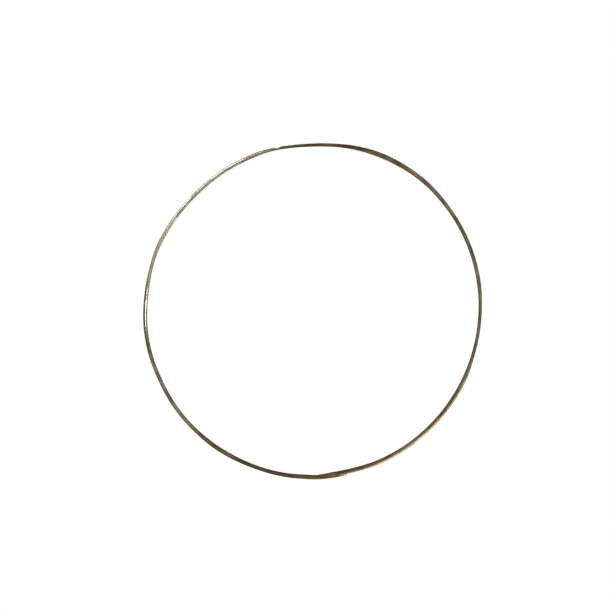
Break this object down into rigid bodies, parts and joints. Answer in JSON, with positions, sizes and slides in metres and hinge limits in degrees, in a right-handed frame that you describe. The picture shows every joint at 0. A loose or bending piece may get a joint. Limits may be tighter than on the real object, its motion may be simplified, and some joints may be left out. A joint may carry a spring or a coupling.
{
  "type": "wreath frame",
  "caption": "Bare round hoop of brass wire for a wreath, bent by hand, its two ends lapped one on the other and brazed.",
  "frame": {"origin": "middle of the hoop, on the surface that it lies on", "axes": "the hoop lies flat on XY and is seen from +Z; +Y is the top as it hangs, and the lapped ends are at the bottom, near -Y"},
  "size_m": [0.3015, 0.3003, 0.0068],
  "materials": {
    "aged_brass": "aged dark brass, rubbed pale and bright in places",
    "braze": "dull brazing metal, a little yellower than the wire"
  },
  "bodies": {
    "root": {"hoop_wire": "aged_brass", "lap_braze": "braze"}
  },
  "joints": []
}
